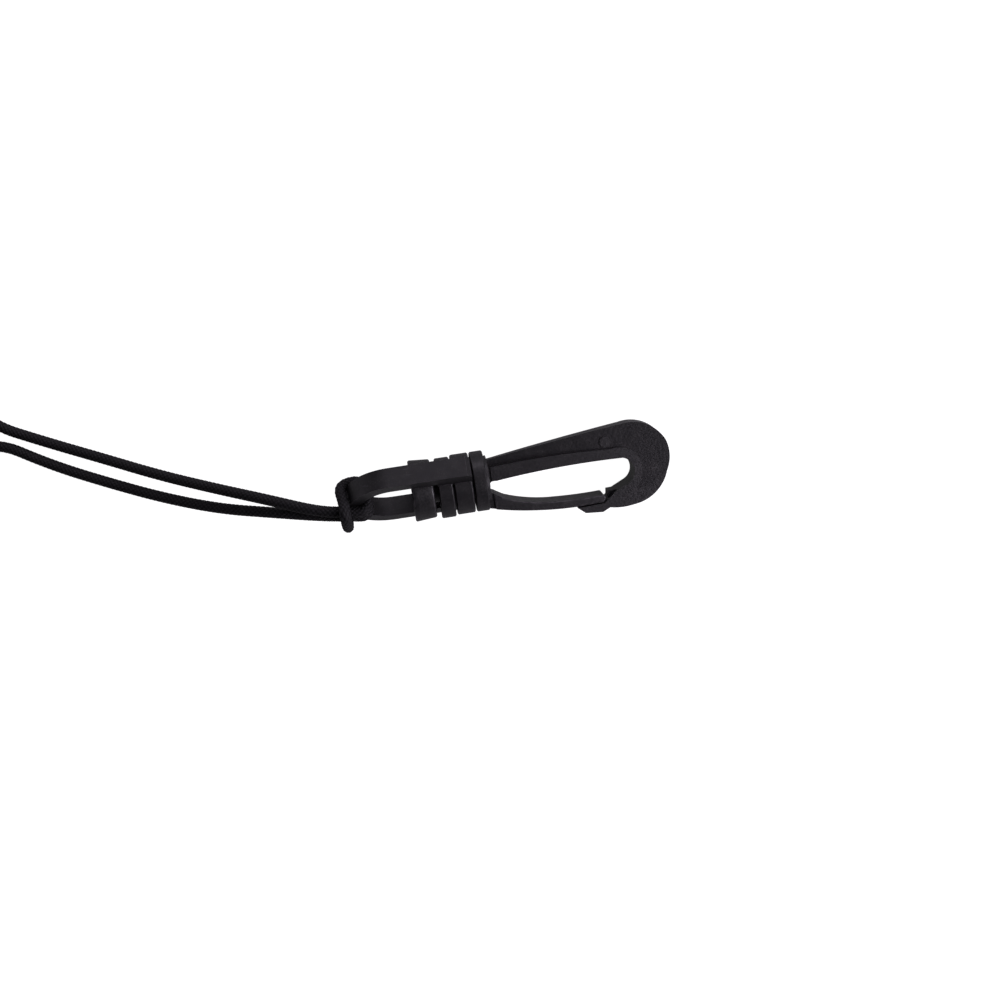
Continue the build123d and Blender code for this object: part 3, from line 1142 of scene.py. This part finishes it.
@dataclass
class Lanyard:
    """The neck cord: girth-hitched to the bail, both strands lying on the table, the rest coiled."""

    axes: ClipAxes
    cord_diameter: float = 2.4
    coil_centre: Place = (-139.0, 35.5, 0.0)
    coil_mid_radius: float = 13.5
    strands_meet: Flat = (-119.0, 27.5)
    points_per_turn: int = 16
    steps_per_point: int = 10
    tie_angle: float = 150.0
    crossing_span: float = 50.0
    # places on the bail: along the swivel axis, towards the front arm, across the strap
    hitch_half: tuple[Place, ...] = (
        (-37.0, 1.25, 2.0),
        (-30.6, 1.25, 3.1),
        (-26.1, 1.6, 3.7),
        (-26.1, 1.7, -3.7),
        (-32.2, 1.7, -3.4),
        (-31.3, 3.4, 2.0),
        (-31.4, 4.0, 5.4),
    )
    # places on the table, from the clip towards the coil
    upper_run: tuple[Place, ...] = (
        (-53.0, 4.0, 14.2),
        (-65.0, 7.3, 10.2),
        (-78.0, 11.3, 6.3),
        (-91.0, 16.3, 3.2),
        (-104.0, 21.5, 1.3),
        (-117.0, 27.6, 1.2),
    )
    lower_run: tuple[Place, ...] = (
        (-53.0, 0.6, 12.0),
        (-65.0, 2.3, 8.6),
        (-78.0, 5.8, 5.3),
        (-91.0, 10.6, 2.8),
        (-104.0, 16.2, 1.3),
        (-117.5, 24.3, 1.2),
    )
    # the coil's layers, in the order that the cord fills them: steps outwards and steps up
    layers: tuple[tuple[int, int], ...] = (
        (0, 0), (1, 0), (1, 1), (1, 2), (0, 2), (-1, 2), (-1, 1), (-1, 0), (0, 1), (0, 0)
    )
    # the cord's stretches, in their order along its line
    lower_strand: Stretch = Stretch("cord_lower_strand", "lanyard_strand_lower", Lie.LOOSE, 0.17, 44)
    hitch: Stretch = Stretch("cord_hitch", "lanyard_hitch", Lie.TAUT, 0.11, 64)
    upper_strand: Stretch = Stretch("cord_upper_strand", "lanyard_strand_upper", Lie.LOOSE, 0.17, 44)
    coil: Stretch = Stretch("cord_coil", "lanyard_coil", Lie.COILED, 0.27, 32)

    def tangent_angles(self) -> tuple[float, float]:
        """The angles at which the strands meet the coil's middle circle.

        Returns:
            The upper and the lower strand's angle, in degrees.
        """
        across = self.strands_meet[0] - self.coil_centre[0]
        over = self.strands_meet[1] - self.coil_centre[1]
        swing = 90.0 - math.degrees(math.asin(self.coil_mid_radius / math.hypot(across, over)))
        bearing = math.degrees(math.atan2(over, across))
        return bearing + swing, bearing - swing

    def coil_point(self, angle: float, out: float, up: float) -> Vector:
        """A point of the coil.

        Args:
            angle: Its angle, in degrees.
            out: Its steps outwards from the middle circle.
            up: Its steps up from the table.

        Returns:
            The point, in metres.
        """
        radius = self.coil_mid_radius + out * self.cord_diameter
        turn = math.radians(angle)
        return Vector((
            self.coil_centre[0] + radius * math.cos(turn),
            self.coil_centre[1] + radius * math.sin(turn),
            self.cord_diameter * (0.5 + up),
        )) * MM

    def coil_turns(self) -> list[Vector]:
        """The coil's control points: round the middle circle, changing layers where the band holds them.

        Returns:
            The points, in metres.
        """
        first, last = self.tangent_angles()
        changes = len(self.layers) - 1
        total = (last - first) % FULL_TURN + FULL_TURN * (changes - 1)
        count = round(total / FULL_TURN * self.points_per_turn)
        change = (self.tie_angle - first) % FULL_TURN
        points = []
        for index in range(count + 1):
            gone = total * index / count
            passed = (gone - change) / FULL_TURN + 0.5
            layer = min(max(math.floor(passed), 0), changes - 1)
            near = (gone - change - FULL_TURN * layer) / self.crossing_span + 0.5
            share = min(max(near, 0.0), 1.0)
            share = share * share * (3.0 - 2.0 * share)
            (out_a, up_a), (out_b, up_b) = self.layers[layer:layer + 2]
            out = out_a + (out_b - out_a) * share
            up = up_a + (up_b - up_a) * share
            points.append(self.coil_point(first + gone, out, up))
        return points

    def hitch_points(self) -> list[Vector]:
        """The hitch's control points, from the upper strand round to the lower one.

        Returns:
            The points, in metres.
        """
        half = [self.axes.on_bail(*place) for place in self.hitch_half]
        other = [self.axes.on_bail(u, -d, t) for u, d, t in reversed(self.hitch_half)]
        return half + other

    def smooth_line(self, route: Sequence[Vector]) -> np.ndarray:
        """Reads a smooth line through a route from a NURBS spline.

        Args:
            route: The control points, in metres.

        Returns:
            The line's points, in metres.
        """
        curve = bpy.data.curves.new("lanyard_route", "CURVE")
        curve.dimensions = "3D"
        curve.resolution_u = self.steps_per_point
        spline = curve.splines.new("NURBS")
        spline.points.add(len(route) - 1)
        for point, place in zip(spline.points, route):
            point.co = (*place, 1.0)
        spline.order_u = 3
        spline.use_endpoint_u = True
        holder = new_piece("lanyard_route", curve)
        mesh = plain_mesh(holder)
        line = np.array([vertex.co for vertex in mesh.vertices])
        bpy.data.objects.remove(holder)
        bpy.data.meshes.remove(mesh)
        return line

    def line(self) -> tuple[np.ndarray, list[int]]:
        """Draws the whole cord as one line, from the coil along the lower strand and back.

        Returns:
            The line's points, and where each stretch starts and the last one ends.
        """
        hitch = self.hitch_points()
        coil = self.coil_turns()
        lower = [Vector(place) * MM for place in self.lower_run]
        upper = [Vector(place) * MM for place in self.upper_run]
        line = self.smooth_line([coil[-1], *reversed(lower), *reversed(hitch), *upper, *coil])
        hitch_start, hitch_end = [
            int(np.linalg.norm(line - np.array(place), axis=1).argmin()) for place in (hitch[-1], hitch[0])
        ]
        after = np.linalg.norm(line[hitch_end:] - np.array(coil[0]), axis=1)
        # the coil passes its own start again on later turns, so only the first tenth is searched
        coil_start = hitch_end + int(after[:len(after) // 10].argmin())
        return line, [0, hitch_start, hitch_end, coil_start, len(line) - 1]

    def build(self, effects: Effects) -> None:
        """Braids the lanyard's four stretches.

        Args:
            effects: The shared shader groups.
        """
        sleeve = Sleeve(self.cord_diameter)
        tree = sleeve.tree()
        nylon = BraidedNylon("braided_nylon", sleeve.yarns, sleeve.lay).material(effects)
        line, cuts = self.line()
        run = np.concatenate([[0.0], np.cumsum(np.linalg.norm(np.diff(line, axis=0), axis=1))])
        stretches = (self.lower_strand, self.hitch, self.upper_strand, self.coil)
        for stretch, start, end in zip(stretches, cuts, cuts[1:]):
            part = line[start:end + 1]
            sizes = sleeve.sizes(stretch.spacing, stretch.sides, float(run[start]))
            piece = grown_piece(stretch.name, part, False, tree, {**sizes, "Material": nylon})
            sleeve.unwrap(piece.data)
            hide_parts(stretch.node)
            dress(piece, nylon, Body.BAIL)


# ---------------------------------------------------------------- band round the coil


@dataclass
class CoilBand:
    """A ribbed rubber band with a press stud, round the put-away turns."""

    lanyard: Lanyard
    width: float = 5.0
    thickness: float = 0.8
    corner: float = 2.4
    corner_steps: int = 8
    # how far the strap's long edges are drawn in
    edge: float = 0.2
    rib_spacing: float = 0.95
    rib_radius: float = 0.16
    rib_sides: int = 10
    rib_margin: float = 0.35
    stud_radius: float = 1.7
    stud_height: float = 0.55
    stud_sides: int = 40
    # the stud's outline: shares of its radius and of its height
    stud_profile: tuple[Flat, ...] = (
        (0.0, 0.55), (0.35, 0.55), (0.5, 0.75), (0.75, 1.0), (0.9, 0.95), (1.0, 0.7), (1.0, -0.4), (0.0, -0.4)
    )

    def stack(self) -> float:
        """The size, in millimetres, of the three turns side by side or one over the other."""
        return 3 * self.lanyard.cord_diameter

    def placement(self) -> Matrix:
        """The band's placement: x outwards, y up, z along the turns.

        Returns:
            The placement, for a mesh in metres.
        """
        turn = math.radians(self.lanyard.tie_angle)
        out = Vector((math.cos(turn), math.sin(turn), 0.0))
        up = Vector((0.0, 0.0, 1.0))
        middle = Vector(self.lanyard.coil_centre) + out * self.lanyard.coil_mid_radius
        middle += up * (self.stack() + self.thickness) / 2
        rotation = Matrix((out, up, out.cross(up))).transposed()
        return Matrix.Translation(middle * MM) @ rotation.to_4x4()

    def loop(self, proud: float) -> list[Flat]:
        """A line round the turns, beside the band's middle line.

        Args:
            proud: How far outside the middle line it runs, in millimetres.

        Returns:
            The line's points, in millimetres.
        """
        wide = (self.stack() + self.thickness) / 2 + proud
        high = self.stack() / 2 + proud
        corner = self.corner + self.thickness / 2 + proud
        points = []
        for quarter, (side_x, side_y) in enumerate(((1, 1), (-1, 1), (-1, -1), (1, -1))):
            for step in range(self.corner_steps + 1):
                angle = math.radians(90.0 * (quarter + step / self.corner_steps))
                points.append((
                    side_x * (wide - corner) + corner * math.cos(angle),
                    side_y * (high - corner) + corner * math.sin(angle),
                ))
        return points

    def strap(self, material: bpy.types.Material) -> None:
        """Makes the band itself: a closed flat strap with rounded edges.

        Args:
            material: Its finish.
        """
        place = self.placement()
        half = self.width / 2
        drawn_in = half - self.edge
        # shares of the thickness from the inside out, and places across the width
        section = (
            (0.0, -drawn_in), (0.0, drawn_in), (0.25, half), (0.75, half),
            (1.0, drawn_in), (1.0, -drawn_in), (0.75, -half), (0.25, -half),
        )
        shape = bmesh.new()
        rings = []
        for inner, outer in zip(self.loop(-self.thickness / 2), self.loop(self.thickness / 2)):
            ring = []
            for share, side in section:
                spot = Vector((*Vector(inner).lerp(Vector(outer), share), side)) * MM
                ring.append(shape.verts.new(place @ spot))
            rings.append(ring)
        bridge(shape, [*rings, rings[0]])
        bmesh.ops.recalc_face_normals(shape, faces=shape.faces)
        piece = shaded_piece(shape, "coil_band", BAND_CREASE)
        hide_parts("coil_tie")
        dress(piece, material, Body.BAIL)

    def rib_tree(self, sizes: dict[str, float | int]) -> bpy.types.NodeTree:
        """Builds the tree that sets fine ribs along a closed line.

        Args:
            sizes: Name and default of each size.

        Returns:
            The tree.
        """
        nodes, given, line = line_tree("band_ribs", sizes)
        spots = nodes.add("GeometryNodeCurveToPoints", {"mode": "LENGTH"}, Curve=line)
        nodes.feed(spots.inputs["Length"], given["Rib Spacing"])
        rib = nodes.add(
            "GeometryNodeMeshCylinder",
            Vertices=given["Rib Sides"],
            Radius=given["Rib Radius"],
            Depth=given["Rib Length"],
        )
        ribs = nodes.add("GeometryNodeInstanceOnPoints", Points=spots.outputs[0], Instance=rib.outputs[0])
        lying_along = (math.pi / 2, 0.0, math.radians(self.lanyard.tie_angle))
        nodes.feed(ribs.inputs["Rotation"], lying_along)
        return end_tree(nodes, ribs.outputs[0], given["Material"])

    def ribs(self, material: bpy.types.Material) -> None:
        """Makes the fine grip ribs over the band.

        Args:
            material: Their finish.
        """
        place = self.placement()
        line = [place @ (Vector((x, y, 0.0)) * MM) for x, y in self.loop(self.thickness / 2)]
        sizes = {
            "Rib Spacing": self.rib_spacing * MM,
            "Rib Radius": self.rib_radius * MM,
            "Rib Length": (self.width - 2 * self.rib_margin) * MM,
            "Rib Sides": self.rib_sides,
        }
        tree = self.rib_tree(sizes)
        piece = grown_piece("coil_band_ribs", line, True, tree, {**sizes, "Material": material})
        shade_by_angle(piece.data, BAND_CREASE)
        dress(piece, material, Body.BAIL)

    def stud(self, material: bpy.types.Material) -> None:
        """Makes the press stud that closes the band, on its outer side.

        Args:
            material: Its finish.
        """
        place = self.placement()
        face = self.stack() / 2 + self.thickness
        shape = bmesh.new()
        rings = []
        for across, high in self.stud_profile:
            ring = []
            for side in range(self.stud_sides if across else 1):
                turn = 2.0 * math.pi * side / self.stud_sides
                radius = across * self.stud_radius
                spot = Vector((
                    face + high * self.stud_height, radius * math.cos(turn), radius * math.sin(turn)
                ))
                ring.append(shape.verts.new(place @ (spot * MM)))
            rings.append(ring)
        bridge(shape, rings)
        bmesh.ops.recalc_face_normals(shape, faces=shape.faces)
        piece = shaded_piece(shape, "coil_band_stud", BAND_CREASE)
        dress(piece, material, Body.BAIL)

    def build(self, effects: Effects) -> None:
        """Makes the band, its ribs and its stud.

        Args:
            effects: The shared shader groups.
        """
        rubber = SoftRubber("soft_rubber").material(effects)
        self.strap(rubber)
        self.ribs(rubber)
        self.stud(rubber)


# ---------------------------------------------------------------- clip


def arc_points(start: Flat, middle: Flat, end: Flat, steps: int) -> list[Flat]:
    """Points along the arc through three places, without its first one.

    Args:
        start: Where the arc starts.
        middle: A place on the arc.
        end: Where the arc ends.
        steps: The number of points.

    Returns:
        The points after the start, up to the end.
    """
    ax, ay = start
    bx, by = middle
    cx, cy = end
    spread = 2.0 * (ax * (by - cy) + bx * (cy - ay) + cx * (ay - by))
    a2, b2, c2 = ax * ax + ay * ay, bx * bx + by * by, cx * cx + cy * cy
    ox = (a2 * (by - cy) + b2 * (cy - ay) + c2 * (ay - by)) / spread
    oy = (a2 * (cx - bx) + b2 * (ax - cx) + c2 * (bx - ax)) / spread
    radius = math.hypot(ax - ox, ay - oy)
    first = math.atan2(ay - oy, ax - ox)
    half = (math.atan2(by - oy, bx - ox) - first) % (2.0 * math.pi)
    whole = (math.atan2(cy - oy, cx - ox) - first) % (2.0 * math.pi)
    if half > whole:
        whole -= 2.0 * math.pi
    turns = [first + whole * (step + 1) / steps for step in range(steps)]
    return [(ox + radius * math.cos(turn), oy + radius * math.sin(turn)) for turn in turns]


@dataclass
class SnapHook:
    """The hook moulding with its collar and stem, its sprung gate and the cap at the stem's end."""

    axes: ClipAxes
    hook_edge: float = 0.22
    cap_edge: float = 0.12
    gate_edge: float = 0.26
    gate_sharp_angle: float = 30.0
    gate_half_depth: float = 3.4
    root_half_depth: float = 3.52
    root_start: float = 1.22
    # where the finger bends: across the hook, and from here to here along it
    bend_line: float = -5.55
    bend_start: float = 1.9
    bend_end: float = 5.6

    def arm_outline(self) -> list[Flat]:
        """The whole lower arm's outline, from the neck to the gate's tip and back.

        Returns:
            The outline's points, in millimetres.
        """
        points = [(self.root_start, -2.72), (1.75, -3.12), (2.75, -3.72), (3.5, -4.16)]
        points += arc_points(points[-1], (8.7, -5.75), (15.0, -6.55), 16)
        points += arc_points((15.0, -6.55), (20.0, -6.76), (25.1, -6.7), 8)
        points += [(25.5, -7.4), (24.9, -8.3), (19.5, -8.5)]
        points += arc_points(points[-1], (14.5, -8.32), (9.0, -7.75), 10)
        points += arc_points((9.0, -7.75), (5.6, -7.22), (2.4, -6.55), 10)
        points += [(self.root_start, -6.28)]
        return points

    def half_depth(self, u: float) -> float:
        """Half the finger's depth at a place along it, in millimetres."""
        share = min(max((u - self.bend_start) / (self.bend_end - self.bend_start), 0.0), 1.0)
        return self.root_half_depth + (self.gate_half_depth - self.root_half_depth) * share

    def gate(self, material: bpy.types.Material) -> None:
        """Makes the sprung arm: one finger that grows out of the hook's root and bends where it is thin.

        Args:
            material: Its finish.
        """
        place = self.axes.hook_matrix()
        shape = bmesh.new()
        top, bottom = [
            [
                shape.verts.new(place @ (Vector((u, v, side * self.half_depth(u))) * MM))
                for u, v in self.arm_outline()
            ]
            for side in (1.0, -1.0)
        ]
        shape.faces.new(top)
        shape.faces.new(reversed(bottom))
        bridge(shape, [top, bottom])
        bmesh.ops.recalc_face_normals(shape, faces=shape.faces)
        round_edges(shape, self.gate_edge, self.gate_sharp_angle, segments=3)
        piece = moulded_piece(shape, "gate_finger")
        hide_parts("gate_arm")
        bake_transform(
            piece,
            Body.HOOK.value,
            Body.GATE.value,
            start=tuple(self.axes.on_hook(self.bend_start, self.bend_line)),
            end=tuple(self.axes.on_hook(self.bend_end, self.bend_line)),
        )
        dress(piece, material, Body.GATE)

    def build(self, effects: Effects) -> None:
        """Makes the hook's pieces.

        Args:
            effects: The shared shader groups.
        """
        acetal = MouldedAcetal("moulded_acetal_hook").material(effects)
        for node, name, edge in (
            ("hook_frame", "hook_body", self.hook_edge),
            ("swivel_head", "stem_cap", self.cap_edge),
        ):
            dress(softened_copy(node, name, edge), acetal, Body.HOOK)
        self.gate(acetal)


@dataclass
class SwivelBail:
    """The strap loop with its split collar, in a smoother moulding."""

    edge: float = 0.3
    roughness: float = 0.42
    grain_height: float = 0.008

    def build(self, effects: Effects) -> None:
        """Makes the bail's one piece.

        Args:
            effects: The shared shader groups.
        """
        finish = MouldedAcetal(
            "moulded_acetal_bail", roughness=self.roughness, grain_height=self.grain_height
        )
        loop = softened_copy("bail", "bail_loop", self.edge)
        dress(loop, finish.material(effects), Body.BAIL)


# ---------------------------------------------------------------- camera, light and floor


@dataclass(frozen=True)
class SoftBox:
    """A soft light that faces the clip, with its place and size in metres and its power in watts."""

    name: str
    place: Place
    size: Flat
    power: float

    def build(self, tint: Colour) -> None:
        """Adds the light.

        Args:
            tint: The light's colour.
        """
        data = bpy.data.lights.new(self.name, "AREA")
        data.shape = "RECTANGLE"
        data.size, data.size_y = self.size
        data.energy = self.power
        data.color = tint
        lamp = bpy.data.objects.new(self.name, data)
        bpy.context.scene.collection.objects.link(lamp)
        lamp.location = self.place
        lamp.rotation_mode = "QUATERNION"
        lamp.rotation_quaternion = Vector(self.place).to_track_quat("Z", "Y")


@dataclass
class Studio:
    """A pale sheet, soft light from the sides and the camera over the clip."""

    axes: ClipAxes
    # the camera's lean and roll in degrees, its distance and aim in millimetres
    lean_along: float = 2.96
    lean_across: float = 10.7
    roll: float = 8.75
    distance: float = 330.0
    aim_right: float = 3.124
    aim_up: float = -4.422
    lens: float = 54.0
    sensor: float = 36.0
    # how near and how far the camera sees, in metres
    clip: Flat = (0.01, 10.0)
    # the sheet's half size and how far it lies under the clip, in metres
    sheet_half: float = 1.6
    sheet_drop: float = 0.00003
    tint: Colour = (1.0, 0.92, 1.06)
    tent_opening: Place = (-0.9, -0.3, 1.0)
    tent_wall: float = 0.6
    tent_top: float = 0.008
    soft_boxes: tuple[SoftBox, ...] = (
        SoftBox("front_box", (0.8, -0.9, 0.5), (0.8, 0.5), 0.5),
        SoftBox("back_box", (0.3, 1.1, 0.35), (1.4, 0.4), 2.8),
        SoftBox("right_box", (0.36, -0.05, 0.3), (0.24, 0.3), 1.15),
        SoftBox("left_box", (-0.9, 0.45, 0.12), (0.8, 0.24), 0.5),
    )

    def camera(self) -> None:
        """Places the camera above the clip, leaning a little towards its back and rolled."""
        back = (
            self.axes.upward
            - self.axes.along * math.tan(math.radians(self.lean_along))
            + self.axes.across * math.tan(math.radians(self.lean_across))
        ).normalized()
        level = (self.axes.along - back * self.axes.along.dot(back)).normalized()
        over = back.cross(level)
        turn = math.radians(self.roll)
        right = level * math.cos(turn) - over * math.sin(turn)
        up = level * math.sin(turn) + over * math.cos(turn)
        aim = self.axes.swivel + (right * self.aim_right + up * self.aim_up) * MM
        data = bpy.data.cameras.new("camera")
        data.lens = self.lens
        data.sensor_width = self.sensor
        data.clip_start, data.clip_end = self.clip
        camera = bpy.data.objects.new("camera", data)
        bpy.context.scene.collection.objects.link(camera)
        rotation = Matrix((right, up, back)).transposed().to_4x4()
        camera.matrix_world = Matrix.Translation(aim + back * self.distance * MM) @ rotation
        bpy.context.scene.camera = camera

    def floor(self) -> None:
        """Lays the pale sheet under everything."""
        half = self.sheet_half
        corners = [(-half, -half), (half, -half), (half, half), (-half, half)]
        mesh = bpy.data.meshes.new("floor")
        mesh.from_pydata([(x, y, -self.sheet_drop) for x, y in corners], [], [(0, 1, 2, 3)])
        mesh.materials.append(PalePaper().material())
        new_piece("floor", mesh)

    def sky(self) -> None:
        """Puts a soft tent round the scene, open and so dark above its left, which the eye sees as white."""
        world = bpy.data.worlds.new("tent")
        bpy.context.scene.world = world
        nodes = Nodes.of(world)
        nearness = nodes.add("ShaderNodeVectorMath", {"operation": "DOT_PRODUCT"})
        nodes.feed(nearness.inputs[0], nodes.add("ShaderNodeTexCoord").outputs["Generated"])
        nodes.feed(nearness.inputs[1], Vector(self.tent_opening).normalized())
        strength = nodes.ramp(nearness.outputs["Value"], -0.25, 0.85, self.tent_wall, self.tent_top)
        tent = nodes.add("ShaderNodeBackground", Color=rgba(self.tint), Strength=strength)
        backdrop = nodes.add("ShaderNodeBackground", Color=rgba(WHITE), Strength=1.0)
        seen = nodes.add("ShaderNodeLightPath").outputs["Is Camera Ray"]
        both = nodes.add("ShaderNodeMixShader", i0=seen, i1=tent.outputs[0], i2=backdrop.outputs[0])
        nodes.add("ShaderNodeOutputWorld", Surface=both.outputs[0])

    def build(self) -> None:
        """Sets up the camera, the floor and the light."""
        self.camera()
        self.floor()
        for soft_box in self.soft_boxes:
            soft_box.build(self.tint)
        self.sky()
        bpy.context.scene.view_settings.view_transform = "Standard"


# ---------------------------------------------------------------- making


def main() -> None:
    """Builds the pieces in order round the frame."""
    logging.basicConfig(level=logging.INFO, format="%(name)s: %(message)s")
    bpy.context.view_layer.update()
    axes = ClipAxes.from_joints(frame["joints"], bail_twist=31.5)
    effects = Effects()
    Studio(axes).build()
    lanyard = Lanyard(axes)
    lanyard.build(effects)
    CoilBand(lanyard).build(effects)
    SwivelBail().build(effects)
    SnapHook(axes).build(effects)


if __name__ == "__main__":
    main()
